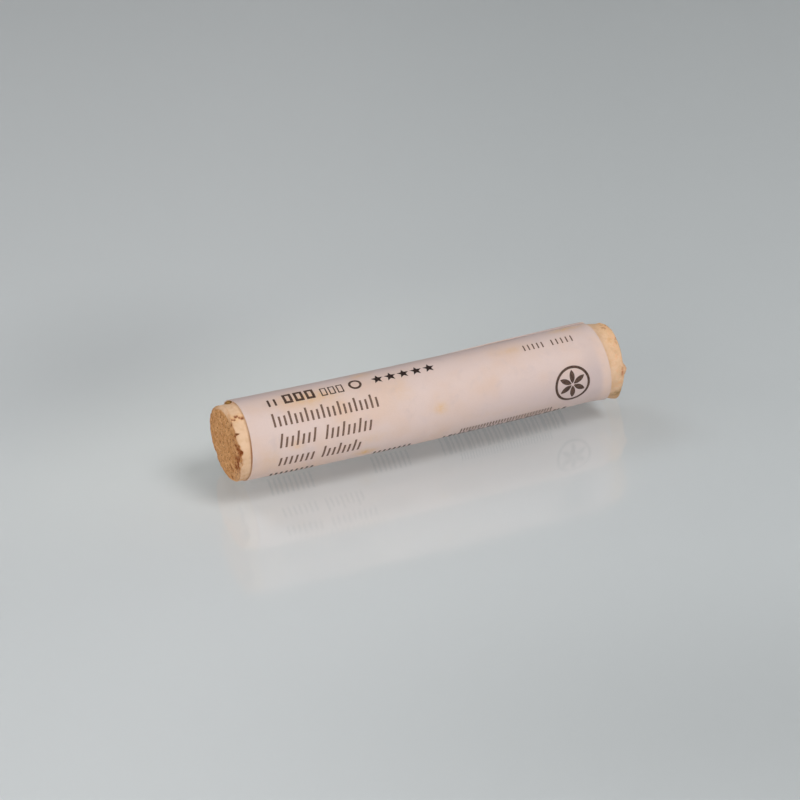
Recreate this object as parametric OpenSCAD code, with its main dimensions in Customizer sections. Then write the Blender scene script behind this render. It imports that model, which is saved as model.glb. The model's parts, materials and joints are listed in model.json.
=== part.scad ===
// Soft pastel stick: a round stick of pressed pigment in a loose paper sleeve.
// It lies along X on z = 0, with its worn face at -X and its far end at +X.
// Angles around the stick are counted from the top, towards the front (-Y).

/* [Pastel] */
// Length of the pastel, from its worn face to its far end
stick_len = 65.5; // [64:0.1:90]
// Diameter of the pastel
stick_d = 12; // [9:0.1:20]
// Radius of the rubbed shoulder at the far end
shoulder_r = 0.5; // [0.3:0.1:1.5]

/* [Worn face] */
// Slope of the worn face across its width, in degrees
face_slope = 4.5; // [0:0.1:8]
// Height of the grain on the worn face
grain_h = 0.2; // [0.05:0.01:0.4]
// Depth of the chips broken out of the worn face's rim
chip_depth = 0.6; // [0.2:0.1:1]
// Width of one chip along the rim, in degrees
chip_width = 13; // [10:1:30]
// Angles around the stick at which the rim is chipped, in degrees
chip_angles = [50, 74, 87, 104, 131, -146];
// Grid cells across the worn face
face_cells = 24; // [12:1:32]

/* [Flake] */
// Distance that the flake stands proud of the far end
flake_reach = 0.5; // [0.2:0.1:2]
// Width of the flake along the rim
flake_width = 2.3; // [1:0.1:5]
// Thickness of the flake, from the rim inwards
flake_thick = 0.9; // [0.4:0.1:2]
// Angle around the stick at which the flake stands, in degrees
flake_angle = 86; // [40:1:140]

/* [Crumb] */
// Diameter of the crumb stuck on the bare pastel
crumb_d = 1.1; // [0.5:0.1:2]
// Angle around the stick at which the crumb is stuck, in degrees
crumb_angle = -14; // [-60:1:60]

/* [Paper sleeve] */
// Length of the sleeve
sleeve_len = 60; // [55:0.1:61]
// Bare pastel between the worn face and the sleeve
bare_len = 2.35; // [2:0.05:4]
// Thickness of the paper
paper_t = 0.12; // [0.08:0.01:0.25]
// Play between the pastel and the sleeve, on the radius
sleeve_play = 0.23; // [0.06:0.01:0.4]
// Gap that keeps the lying pastel clear of the paper under it
rest_gap = 0.02; // [0.01:0.01:0.05]
// Width of the strip that the sleeve's own weight presses flat
pressed_w = 1.1; // [0.4:0.1:2]
// Angle around the stick of the lap's free edge, in degrees
lap_angle = -31; // [-80:1:-10]
// Width of the lap, where the paper lies double
lap_width = 5; // [3:0.1:8]
// Skew of the sleeve's cut edges to the stick, seen from above, in degrees
edge_skew = 4.2; // [0:0.1:6]
// Lean of the sleeve's cut edges, seen from the front, in degrees
edge_lean = 3; // [0:0.1:5]

/* [Print] */
// Thickness of the ink
ink_t = 0.05; // [0.03:0.01:0.1]
// Width of a fine stroke
stroke_w = 0.28; // [0.15:0.01:0.5]
// Distance from one stroke to the next
stroke_pitch = 0.84; // [0.6:0.01:1.5]
// Distance from the sleeve's edge to the start of the rows
row_margin = 4.6; // [3:0.1:10]
// Height of the tall strokes
tall_h = 2; // [1:0.1:3]
// Height of the short strokes
short_h = 1.4; // [0.8:0.1:2.5]
// Lean of the slanted rows, in degrees
stroke_lean = 14; // [0:1:25]
// Slope of the print to the stick, in degrees
print_slope = 1.9; // [0:0.1:4]
// Diameter of one star, over its points
star_d = 1.9; // [1:0.1:3]
// Distance from one star to the next
star_pitch = 2.12; // [2:0.01:4]
// Number of stars
star_count = 5; // [3:1:6]
// Outer diameter of the roundel
roundel_d = 6; // [4:0.1:8]
// Distance from the far edge of the sleeve to the roundel's centre
roundel_margin = 6.3; // [5:0.1:12]
// Width of the roundel's ring
ring_w = 0.34; // [0.2:0.01:0.6]

/* [Hidden] */
$fn = 96;

stick_r = stick_d / 2;
sleeve_in_r = stick_r + sleeve_play;
sleeve_r = sleeve_in_r + paper_t;
// Centre heights of the sleeve, pressed flat below, and of the pastel that lies in it
sleeve_z = sqrt(sleeve_r * sleeve_r - pressed_w * pressed_w / 4);
stick_z = sleeve_z - sleeve_in_r + rest_gap + stick_r;

// The whole piece is centred on the origin along X
face_x = -(stick_len + flake_reach) / 2;
far_x = face_x + stick_len;
sleeve_x0 = face_x + bare_len;
sleeve_x1 = sleeve_x0 + sleeve_len;
sleeve_mid_x = (sleeve_x0 + sleeve_x1) / 2;

// Reach of the cutting solids past what they cut
past = 1;
eps = 0.01;
block_w = stick_d + 2 * past;
deg_per_mm = 180 / (PI * sleeve_r);

// Rows of print: angle around the stick of each row's middle line
mark_row_angle = 14;
row_step_angle = 31;

module along_x(z) {
    translate([0, 0, z])
        rotate([0, 90, 0])
            children();
}

// ---- Pastel -----------------------------------------------------------------

// A repeatable number from 0 to 1 for each corner of the worn face's grid
function grit(i, j) = let (s = sin(i * 127.1 + j * 311.7) * 4375.85) s - floor(s);

// How deep a chip at angle a0 bites at angle a, from 0 to 1
function bite(a, a0) = max(0, 1 - abs(a - a0) / (chip_width / 2));

// Depth of all the chips at angle a and radius r
function chips(a, r) = chip_depth * max(0, min(1, (r / stick_r - 0.75) / 0.2))
    * max([for (a0 = chip_angles) bite(a, a0)]);

// Corner i, j of the grid that makes the worn face rough
function face_point(i, j) = let (
        y = (i / face_cells - 0.5) * block_w,
        z = (j / face_cells - 0.5) * block_w,
        slope = tan(face_slope) * (stick_r - y),
        chip = chips(atan2(-y, z), norm([y, z]))
    ) [face_x + slope + grain_h * grit(i, j) + chip, y, stick_z + z];

// A block that is rough on its -X side and wider than the pastel
module rough_block() {
    n = face_cells;
    row = n + 1;
    back = row * row;
    back_x = far_x + flake_reach + past;
    rough = [for (i = [0 : n]) for (j = [0 : n]) face_point(i, j)];
    corners = [for (y = [-1, 1]) for (z = [-1, 1]) [back_x, y * block_w / 2, stick_z + z * block_w / 2]];
    cells = [for (i = [0 : n - 1]) for (j = [0 : n - 1]) for (half = [0, 1])
        let (a = i * row + j, b = a + row + 1)
        half == 0 ? [a, a + row, b] : [a, b, a + 1]];
    front = concat([for (j = [0 : n]) j], [back + 1, back]);
    rear = concat([for (j = [n : -1 : 0]) n * row + j], [back + 2, back + 3]);
    under = concat([for (i = [n : -1 : 0]) i * row], [back, back + 2]);
    over = concat([for (i = [0 : n]) i * row + n], [back + 3, back + 1]);
    far = [back, back + 1, back + 3, back + 2];
    polyhedron(concat(rough, corners), concat(cells, [front, rear, under, over, far]));
}

// The round stick with its rubbed far shoulder
module stick_blank() {
    translate([face_x, 0, stick_z])
        rotate([0, 90, 0])
            rotate_extrude()
                union() {
                    square([stick_r - shoulder_r, stick_len]);
                    square([stick_r, stick_len - shoulder_r]);
                    intersection() {
                        translate([stick_r - shoulder_r, stick_len - shoulder_r])
                            circle(r = shoulder_r);
                        square([stick_r, stick_len]);
                    }
                }
}

// A piece of the old skin left standing at the far rim, ragged and thinning downwards
module flake() {
    root = shoulder_r + eps;
    w = flake_width;
    intersection() {
        translate([far_x - root, 0, 0])
            along_x(stick_z)
                cylinder(r = stick_r, h = root + flake_reach);
        translate([far_x, 0, stick_z])
            rotate([flake_angle, 0, 0])
                translate([0, 0, stick_r - flake_thick])
                    linear_extrude(flake_thick + past)
                        polygon([[-root, w / 2], [flake_reach * 0.6, w * 0.4], [flake_reach, w * 0.1],
                            [flake_reach * 0.75, -w * 0.25], [flake_reach * 0.3, -w * 0.5], [-root, -w]]);
    }
}

// Place along X of the sleeve's cut edge near the worn end, at angle a
function near_edge_x(a) = sleeve_x0 + sleeve_r * (tan(edge_lean) * cos(a) + tan(edge_skew) * sin(a));

// A crumb stuck on the bare pastel, up against the sleeve's edge
module crumb() {
    translate([near_edge_x(crumb_angle) - crumb_d / 2 - rest_gap, 0, stick_z])
        rotate([crumb_angle, 0, 0])
            translate([0, 0, stick_r - crumb_d / 6])
                sphere(d = crumb_d);
}

module pastel_stick() {
    color("#e3b98f") {
        intersection() {
            stick_blank();
            rough_block();
        }
        flake();
        crumb();
    }
}

// ---- Paper sleeve -----------------------------------------------------------

// Point at radius r and angle a in the section, seen along +X
function on_section(r, a) = [-r * cos(a), -r * sin(a)];

// A wedge that covers the section from angle a0 to a1
module wedge(a0, a1) {
    reach = 2 * sleeve_r;
    steps = 4;
    polygon(concat([[0, 0]], [for (k = [0 : steps]) on_section(reach, a0 + (a1 - a0) * k / steps)]));
}

// The doubled paper, and the ramp where the sheet climbs on to its own edge
module lap_section() {
    lap_end = lap_angle - lap_width * deg_per_mm;
    ramp = 8;
    steps = 6;
    intersection() {
        difference() {
            circle(r = sleeve_r + paper_t);
            circle(r = sleeve_r - paper_t / 2);
        }
        wedge(lap_end, lap_angle);
    }
    polygon(concat(
        [for (k = [0 : steps]) on_section(sleeve_r + paper_t * k / steps, lap_end - ramp * (1 - k / steps))],
        [on_section(sleeve_r - paper_t / 2, lap_end), on_section(sleeve_r - paper_t / 2, lap_end - ramp)]));
}

// Takes away what lies past one cut edge: side is -1 at the worn end, 1 at the far end
module edge_cut(x, side) {
    size = 4 * sleeve_r;
    translate([x, 0, sleeve_z])
        rotate([0, -side * edge_lean, edge_skew])
            translate([side * size / 2, 0, 0])
                cube(size, center = true);
}

module paper_sleeve() {
    color("#dcc6bd")
        difference() {
            translate([sleeve_x0 - past, 0, 0])
                along_x(sleeve_z)
                    linear_extrude(sleeve_len + 2 * past) {
                        difference() {
                            union() {
                                circle(r = sleeve_r);
                                lap_section();
                            }
                            circle(r = sleeve_in_r);
                            translate([sleeve_z, -sleeve_r])
                                square(2 * sleeve_r);
                        }
                    }
            edge_cut(sleeve_x0, -1);
            edge_cut(sleeve_x1, 1);
        }
}

// ---- Print ------------------------------------------------------------------

// Lays flat shapes on the sleeve: +X along the stick, +Y back over the top
module on_sleeve(x, a) {
    translate([x, 0, sleeve_z])
        rotate([a, 0, 0])
            rotate([0, 0, -print_slope])
                translate([0, 0, sleeve_r * 0.7])
                    linear_extrude(sleeve_r)
                        children();
}

// One upright or slanted stroke that stands on the row's base line
module stroke(x, h, w, lean) {
    run = h * tan(lean);
    polygon([[x, 0], [x + w, 0], [x + w + run, h], [x + run, h]]);
}

// A word's worth of strokes, where every third one is tall
module strokes(x, count, tall, short, w, pitch, lean) {
    for (k = [0 : count - 1])
        stroke(x + k * pitch, k % 3 == 0 ? tall : short, w, lean);
}

module star(d) {
    waist = 0.4;
    polygon([for (k = [0 : 9]) (k % 2 == 0 ? d / 2 : d / 2 * waist) * [sin(k * 36), cos(k * 36)]]);
}

module ring(d, w) {
    difference() {
        circle(d = d);
        circle(d = d - 2 * w);
    }
}

// One petal of the rosette: the overlap of two equal circles
module petal(reach) {
    intersection() {
        translate([reach / 2, reach * sqrt(3) / 2])
            circle(r = reach);
        translate([reach / 2, -reach * sqrt(3) / 2])
            circle(r = reach);
    }
}

// A compass-drawn rosette in a ring
module roundel() {
    petals = 6;
    gap = 0.25;
    reach = roundel_d / 2 - ring_w - gap;
    ring(roundel_d, ring_w);
    for (k = [0 : petals - 1])
        rotate(k * 360 / petals)
            translate([gap, 0])
                petal(reach - gap);
}

// The top row: small strokes, bold squares, a ring and the stars
module mark_row() {
    bold = 1.5;
    bold_pitch = 2.05;
    ring_d = 2.1;
    base = -tall_h / 2;
    start = sleeve_x0 + row_margin;
    squares_x = start + 3.5;
    small_x = squares_x + 3 * bold_pitch - 0.6;
    ring_x = small_x + 5.7;
    stars_x = ring_x + 3.4;
    on_sleeve(start, mark_row_angle)
        translate([0, base])
            strokes(0, 2, short_h, short_h, stroke_w, 1.2, 0);
    for (k = [0 : 2])
        on_sleeve(squares_x + k * bold_pitch, mark_row_angle)
            difference() {
                square([bold, bold], center = true);
                square([bold, bold] / 2.6, center = true);
            }
    on_sleeve(small_x, mark_row_angle)
        translate([0, base])
            strokes(0, 3, short_h, short_h, stroke_w, 1.3, 0);
    on_sleeve(ring_x, mark_row_angle)
        ring(ring_d, ring_w);
    for (k = [0 : star_count - 1])
        on_sleeve(stars_x + k * star_pitch, mark_row_angle)
            star(star_d);
}

// The three rows of strokes under the top row
module stroke_rows() {
    x = sleeve_x0 + row_margin;
    word = 9;
    base = -tall_h / 2;
    on_sleeve(x, mark_row_angle + row_step_angle)
        translate([0, base])
            strokes(0, 20, tall_h, short_h, stroke_w, stroke_pitch, 0);
    on_sleeve(x, mark_row_angle + 2 * row_step_angle)
        translate([0, base]) {
            strokes(0, word - 3, tall_h, short_h, stroke_w, stroke_pitch, stroke_lean);
            strokes(word * stroke_pitch - 1.3, word, tall_h, short_h, stroke_w, stroke_pitch, stroke_lean);
        }
    on_sleeve(x, mark_row_angle + 3 * row_step_angle)
        translate([0, base]) {
            strokes(0, word - 4, tall_h, short_h, stroke_w, stroke_pitch, stroke_lean);
            strokes(word * stroke_pitch - 2.4, word - 1, tall_h, short_h, stroke_w, stroke_pitch, stroke_lean);
        }
}

// A broken line of dashes, from x on
module dashes(x, a, count, pitch) {
    dash_h = 0.35;
    gap = 0.7;
    for (k = [0 : count - 1])
        on_sleeve(x + k * pitch, a)
            square([pitch - gap, dash_h]);
}

// The fine rows: one near the top at the far end, two low on the front
module fine_rows() {
    fine_h = 1.1;
    fine_w = stroke_w * 0.8;
    group = 5;
    on_sleeve(sleeve_x1 - roundel_margin - 6.6, mark_row_angle + 5)
        translate([0, -fine_h / 2]) {
            strokes(0, group, fine_h, fine_h, fine_w, stroke_pitch, 0);
            strokes((group + 1.2) * stroke_pitch, group, fine_h, fine_h, fine_w, stroke_pitch, 0);
        }
    dashes(sleeve_mid_x + 5, mark_row_angle + 113, 4, 4.1);
    dashes(sleeve_x0 + row_margin, mark_row_angle + 119, 6, 3.4);
}

module sleeve_print() {
    color("#4a3a34")
        intersection() {
            union() {
                mark_row();
                stroke_rows();
                fine_rows();
                on_sleeve(sleeve_x1 - roundel_margin, mark_row_angle + 71)
                    roundel();
            }
            translate([sleeve_x0, 0, 0])
                along_x(sleeve_z)
                    difference() {
                        cylinder(r = sleeve_r + ink_t, h = sleeve_len);
                        translate([0, 0, -past])
                            cylinder(r = sleeve_r, h = sleeve_len + 2 * past);
                    }
        }
}

pastel_stick();
paper_sleeve();
sleeve_print();
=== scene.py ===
"""A soft pastel stick in its loose paper sleeve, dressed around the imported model.

The stick lies along X on z = 0 with its worn face at -X. Lengths are in millimetres until a mesh is made,
and a turn is an angle round the stick in degrees, counted from the top towards the front (-Y).
"""

import json
import logging
import math
from dataclasses import dataclass, field
from enum import Enum
from typing import Iterable, Sequence

import bmesh
import bpy
import numpy as np
from mathutils import Matrix, Vector


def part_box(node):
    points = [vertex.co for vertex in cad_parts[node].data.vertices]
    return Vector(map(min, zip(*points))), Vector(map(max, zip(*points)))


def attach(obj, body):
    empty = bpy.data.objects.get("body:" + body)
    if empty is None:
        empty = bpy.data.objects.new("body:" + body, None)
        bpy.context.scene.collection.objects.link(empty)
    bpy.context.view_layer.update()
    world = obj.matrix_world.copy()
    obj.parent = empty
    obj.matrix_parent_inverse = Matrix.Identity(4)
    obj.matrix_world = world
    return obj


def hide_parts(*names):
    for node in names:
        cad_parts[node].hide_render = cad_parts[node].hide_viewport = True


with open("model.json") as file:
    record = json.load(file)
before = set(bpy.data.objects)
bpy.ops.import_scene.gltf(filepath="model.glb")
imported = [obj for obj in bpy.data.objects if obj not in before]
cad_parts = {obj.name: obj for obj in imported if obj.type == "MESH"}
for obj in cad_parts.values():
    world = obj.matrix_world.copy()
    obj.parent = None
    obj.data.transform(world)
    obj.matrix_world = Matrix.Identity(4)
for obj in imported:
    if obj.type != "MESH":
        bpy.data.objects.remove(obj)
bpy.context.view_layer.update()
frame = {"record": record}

MM = 0.001
BODY = "root"
log = logging.getLogger("soft_pastel")

Triple = tuple[float, float, float]
Colour = tuple[float, float, float, float]
BLACK: Colour = (0.0, 0.0, 0.0, 1.0)


class Slot(Enum):
    """The record's material slots."""

    PASTEL = "pastel"
    PAPER = "sleeve_paper"
    INK = "ink"


def srgb(red: int, green: int, blue: int) -> Colour:
    """A colour as it looks on a screen, from 0 to 255, as the linear values that a shader takes.

    Args:
        red: Red from 0 to 255.
        green: Green from 0 to 255.
        blue: Blue from 0 to 255.

    Returns:
        Linear red, green, blue and an alpha of 1.
    """

    def linear(value: int) -> float:
        """One channel as a linear value."""
        share = value / 255
        return share / 12.92 if share <= 0.04045 else ((share + 0.055) / 1.055) ** 2.4

    return (linear(red), linear(green), linear(blue), 1.0)


def ease(values: np.ndarray, low: float, high: float) -> np.ndarray:
    """Rises smoothly from 0 at low to 1 at high."""
    share = np.clip((values - low) / (high - low), 0, 1)
    return share * share * (3 - 2 * share)


def turn_gap(turns: np.ndarray, centre: float) -> np.ndarray:
    """Signed difference between turns and a centre, from -180 to 180 degrees."""
    return (turns - centre + 180) % 360 - 180


def mound(distance: np.ndarray, half_width: float) -> np.ndarray:
    """A smooth mound of height 1 where a distance is 0."""
    return np.exp(-((distance / half_width) ** 2))


def hump(turns: np.ndarray, centre: float, half_width: float) -> np.ndarray:
    """A smooth mound of height 1 round the stick, centred on one turn."""
    return mound(turn_gap(turns, centre), half_width)


# ---- Noise for the meshes ----------------------------------------------------


@dataclass(frozen=True)
class Grain:
    """Repeatable three-dimensional noise, the same at every run."""

    seed: int

    def _number(self, cells: np.ndarray, salt: int) -> np.ndarray:
        """A number from 0 to 1 for each whole-numbered cell.

        Args:
            cells: Cells, one row of three whole numbers each.
            salt: Tells apart the numbers that one cell gives.

        Returns:
            One number for each cell.
        """
        mixed = cells[..., 0] * 73856093 ^ cells[..., 1] * 19349663 ^ cells[..., 2] * 83492791
        mixed = (mixed ^ (self.seed * 7919 + salt * 104729)) * 1274126177
        mixed = (mixed ^ (mixed >> 15)) * 668265263
        mixed = mixed ^ (mixed >> 13)
        return (mixed & 0xFFFFFF) / float(0x1000000)

    def smooth(self, points: np.ndarray, size: float) -> np.ndarray:
        """Soft noise from -1 to 1.

        Args:
            points: Places, one row of three each.
            size: Width of one swell of the noise.

        Returns:
            One value for each place.
        """
        scaled = points / size
        base = np.floor(scaled).astype(np.int64)
        part = scaled - base
        part = part * part * (3 - 2 * part)
        total = np.zeros(len(points))
        for corner in range(8):
            step = np.array([corner & 1, corner >> 1 & 1, corner >> 2 & 1])
            weight = np.prod(np.where(step, part, 1 - part), axis=1)
            total += weight * self._number(base + step, 1)
        return total * 2 - 1

    def layered(self, points: np.ndarray, size: float, layers: int = 3) -> np.ndarray:
        """Soft noise with finer and fainter noise laid over it."""
        total = sum(self.smooth(points + 17.3 * k, size / 2**k) / 2**k for k in range(layers))
        return total / (2 - 0.5 ** (layers - 1))

    def lumps(self, points: np.ndarray, size: float) -> np.ndarray:
        """Rounded lumps packed side by side.

        Args:
            points: Places, one row of three each.
            size: Width of one lump.

        Returns:
            The height at each place, 1 at a lump's middle and 0 between lumps.
        """
        scaled = points / size
        base = np.floor(scaled).astype(np.int64)
        nearest = np.full(len(points), 9.0)
        for offset in np.ndindex(3, 3, 3):
            cell = base + np.array(offset) - 1
            middle = cell + np.stack([self._number(cell, salt) for salt in (2, 3, 4)], axis=1)
            nearest = np.minimum(nearest, np.sqrt(((scaled - middle) ** 2).sum(axis=1)))
        return np.clip(1 - nearest, 0, 1)


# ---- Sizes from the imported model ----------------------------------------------


@dataclass(frozen=True)
class StickLayout:
    """Sizes and places of the pastel and its sleeve.

    The stick is slightly bent: bow_rise is how far back its sleeve's ends lie from its middle, and bow_level
    is the share of that which lies in front of the straight line.
    """

    pastel_r: float
    pastel_z: float
    face_x: float
    tip_x: float
    sleeve_r: float
    sleeve_z: float
    sleeve_x0: float
    sleeve_x1: float
    bow_rise: float = 0.72
    bow_level: float = 0.375

    @classmethod
    def from_frame(cls) -> "StickLayout":
        """Reads the boxes and the sleeve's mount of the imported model.

        Returns:
            The layout, in millimetres.
        """
        low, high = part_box("pastel_stick")
        grip = frame["record"]["mounts"][0]
        middle = grip["pos_m"][0] / MM
        half = grip["dims"]["length_mm"] / 2
        radius = (high.y - low.y) / 2 / MM
        return cls(
            pastel_r=radius,
            pastel_z=low.z / MM + radius,
            face_x=low.x / MM,
            tip_x=high.x / MM,
            sleeve_r=grip["dims"]["r_mm"],
            sleeve_z=grip["pos_m"][2] / MM,
            sleeve_x0=middle - half,
            sleeve_x1=middle + half,
        )

    @property
    def middle_x(self) -> float:
        """Middle of the sleeve along the stick."""
        return (self.sleeve_x0 + self.sleeve_x1) / 2

    def bow(self, along: np.ndarray) -> np.ndarray:
        """How far back the slightly bent stick lies at each place along it."""
        share = (along - self.middle_x) / (self.sleeve_x1 - self.middle_x)
        return self.bow_rise * (share * share - self.bow_level)

    def place(self, along: np.ndarray, turns: np.ndarray, radius: np.ndarray, height: float) -> np.ndarray:
        """Points round the bent stick.

        Args:
            along: Places along X.
            turns: Turns round the stick.
            radius: Distances from the axis.
            height: Height of the axis.

        Returns:
            Points, with the last axis holding x, y and z.
        """
        angle = np.radians(turns)
        across = self.bow(along) - radius * np.sin(angle)
        return np.stack([along, across, height + radius * np.cos(angle)], axis=-1)


# ---- Meshes ------------------------------------------------------------------


class Piece:
    """One piece of the dressed stick: a mesh with its finish, body and the CAD nodes it stands for."""

    def __init__(self, name: str, points: np.ndarray, faces: Iterable[Sequence[int]]) -> None:
        """Makes the mesh.

        Args:
            name: Name of the piece.
            points: Corners in millimetres, one row of three each.
            faces: Corner numbers of each face.
        """
        self.mesh = bpy.data.meshes.new(name)
        self.mesh.from_pydata((points * MM).tolist(), [], [list(face) for face in faces])
        self.mesh.validate()
        self.thing = bpy.data.objects.new(name, self.mesh)
        bpy.context.scene.collection.objects.link(self.thing)

    def smooth(self, sharp_from: float) -> None:
        """Shades the mesh smooth, with sharp edges from an angle in degrees."""
        self.mesh.shade_smooth()
        self.mesh.set_sharp_from_angle(angle=math.radians(sharp_from))

    def paint(self, **layers: np.ndarray) -> None:
        """Stores numbers or vectors on the mesh's corners.

        Args:
            layers: The values for each corner, by name.
        """
        for name, values in layers.items():
            if values.ndim == 1:
                layer = self.mesh.attributes.new(name, "FLOAT", "POINT")
                layer.data.foreach_set("value", values.astype(np.float32))
            else:
                layer = self.mesh.attributes.new(name, "FLOAT_VECTOR", "POINT")
                layer.data.foreach_set("vector", values.astype(np.float32).ravel())

    def dress(self, material: bpy.types.Material, slot: Slot, *nodes: str) -> None:
        """Gives the piece its finish and joins it to the frame.

        Args:
            material: The finish.
            slot: Not used.
            nodes: CAD nodes that the piece stands for.
        """
        self.mesh.materials.append(material)
        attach(self.thing, BODY)
        if nodes:
            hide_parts(*nodes)
        corners, faces = len(self.mesh.vertices), len(self.mesh.polygons)
        log.info("%s: %d corners, %d faces", self.thing.name, corners, faces)


def grid_faces(rows: int, columns: int, start: int = 0, ring: bool = False, flip: bool = False) -> np.ndarray:
    """Faces of a grid of corners.

    Args:
        rows: Number of rows of corners.
        columns: Corners in a row.
        start: Number of the first corner.
        ring: True where each row closes on itself.
        flip: True to turn the faces over.

    Returns:
        Four corner numbers for each face.
    """
    spans = columns if ring else columns - 1
    row, column = np.meshgrid(np.arange(rows - 1), np.arange(spans), indexing="ij")
    after = (column + 1) % columns
    a = start + row * columns + column
    b = start + row * columns + after
    c = b + columns
    d = a + columns
    quads = np.stack([a, b, c, d] if not flip else [a, d, c, b], axis=-1)
    return quads.reshape(-1, 4)


# ---- Material nodes ------------------------------------------------------------


class FinishBench:
    """Adds and joins the nodes of one material."""

    def __init__(self, name: str) -> None:
        """Starts a material with one Principled shader.

        Args:
            name: Name of the material.
        """
        self.material = bpy.data.materials.new(name)
        self.material.use_nodes = True
        self.tree = self.material.node_tree
        self.tree.nodes.clear()
        self.output = self.tree.nodes.new("ShaderNodeOutputMaterial")
        self.shader = self.tree.nodes.new("ShaderNodeBsdfPrincipled")
        self.tree.links.new(self.shader.outputs[0], self.output.inputs["Surface"])
        place = self.tree.nodes.new("ShaderNodeTexCoord").outputs["Object"]
        self.place = self.scaled(place, (1 / MM, 1 / MM, 1 / MM))

    def feed(self, node: bpy.types.Node, name: str | int, value: object) -> None:
        """Joins a socket to an input, or writes a plain value to it.

        Args:
            node: The node to feed.
            name: Name or number of its input.
            value: A socket, or a plain value.
        """
        if isinstance(value, bpy.types.NodeSocket):
            self.tree.links.new(value, node.inputs[name])
        else:
            node.inputs[name].default_value = value

    def scaled(self, vector: bpy.types.NodeSocket, by: Triple) -> bpy.types.NodeSocket:
        """A vector with each part multiplied.

        Args:
            vector: The vector's socket.
            by: What each of its three parts is multiplied by.

        Returns:
            The new vector's socket.
        """
        node = self.tree.nodes.new("ShaderNodeVectorMath")
        node.operation = "MULTIPLY"
        self.feed(node, 0, vector)
        node.inputs[1].default_value = by
        return node.outputs[0]

    def stored(self, name: str, vector: bool = False) -> bpy.types.NodeSocket:
        """A number, or a vector, that the mesh carries.

        Args:
            name: Name that the mesh keeps it under.
            vector: True for a vector.

        Returns:
            The value's socket.
        """
        node = self.tree.nodes.new("ShaderNodeAttribute")
        node.attribute_name = name
        return node.outputs["Vector" if vector else "Fac"]

    def noise(
        self,
        size: float,
        detail: float,
        rough: float,
        vector: bpy.types.NodeSocket | None = None,
        warp: float = 0.0,
    ) -> bpy.types.NodeSocket:
        """Soft noise from 0 to 1.

        Args:
            size: Width of one swell, in millimetres.
            detail: Number of finer layers.
            rough: Strength of the finer layers.
            vector: Places to read it at, if not the object's own.
            warp: How much the noise bends itself.

        Returns:
            The noise's socket.
        """
        node = self.tree.nodes.new("ShaderNodeTexNoise")
        self.feed(node, "Vector", vector or self.place)
        node.inputs["Scale"].default_value = 1 / size
        node.inputs["Detail"].default_value = detail
        node.inputs["Roughness"].default_value = rough
        node.inputs["Distortion"].default_value = warp
        return node.outputs["Fac"]

    def grains(self, size: float) -> bpy.types.Node:
        """Grains packed side by side.

        Args:
            size: Width of one grain, in millimetres.

        Returns:
            The node, which gives each grain's distance and colour.
        """
        node = self.tree.nodes.new("ShaderNodeTexVoronoi")
        self.feed(node, "Vector", self.place)
        node.inputs["Scale"].default_value = 1 / size
        return node

    def sums(self, operation: str, a: object, b: object) -> bpy.types.NodeSocket:
        """One step of arithmetic.

        Args:
            operation: What to do with the two values.
            a: The first value or socket.
            b: The second value or socket.

        Returns:
            The result's socket.
        """
        node = self.tree.nodes.new("ShaderNodeMath")
        node.operation = operation
        self.feed(node, 0, a)
        self.feed(node, 1, b)
        return node.outputs[0]

    def band(
        self,
        value: object,
        low: float,
        high: float,
        to_low: float = 0.0,
        to_high: float = 1.0,
    ) -> bpy.types.NodeSocket:
        """A value stretched smoothly from one span to another, with its ends held.

        Args:
            value: The value or socket.
            low: Where the first span starts.
            high: Where the first span ends.
            to_low: What low becomes.
            to_high: What high becomes.

        Returns:
            The stretched value's socket.
        """
        node = self.tree.nodes.new("ShaderNodeMapRange")
        node.interpolation_type = "SMOOTHSTEP"
        for name, number in (("From Min", low), ("From Max", high), ("To Min", to_low), ("To Max", to_high)):
            node.inputs[name].default_value = number
        self.feed(node, "Value", value)
        return node.outputs["Result"]

    def mix(self, share: object, first: object, second: object) -> bpy.types.NodeSocket:
        """One colour laid over another.

        Args:
            share: How much of the second colour shows, from 0 to 1.
            first: The colour below.
            second: The colour above.

        Returns:
            The mixed colour's socket.
        """
        node = self.tree.nodes.new("ShaderNodeMix")
        node.data_type = "RGBA"
        for index, value in ((0, share), (6, first), (7, second)):
            self.feed(node, index, value)
        return node.outputs[2]

    def relief(self, height: object, depth: float, strength: float) -> None:
        """Fine relief on the shader.

        Args:
            height: The height, as a socket.
            depth: Depth of the relief, in millimetres.
            strength: How strongly it shows, from 0 to 1.
        """
        node = self.tree.nodes.new("ShaderNodeBump")
        node.inputs["Distance"].default_value = depth * MM
        node.inputs["Strength"].default_value = strength
        self.feed(node, "Height", height)
        self.feed(self.shader, "Normal", node.outputs[0])

    def matt(self, colour: object, roughness: float, shine: float) -> None:
        """Gives the shader its colour and its gloss.

        Args:
            colour: The colour, as a value or a socket.
            roughness: Roughness from 0 to 1.
            shine: Strength of the plain reflection, where 0.5 is usual.
        """
        self.feed(self.shader, "Base Color", colour)
        self.shader.inputs["Roughness"].default_value = roughness
        self.shader.inputs["Specular IOR Level"].default_value = shine


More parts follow.
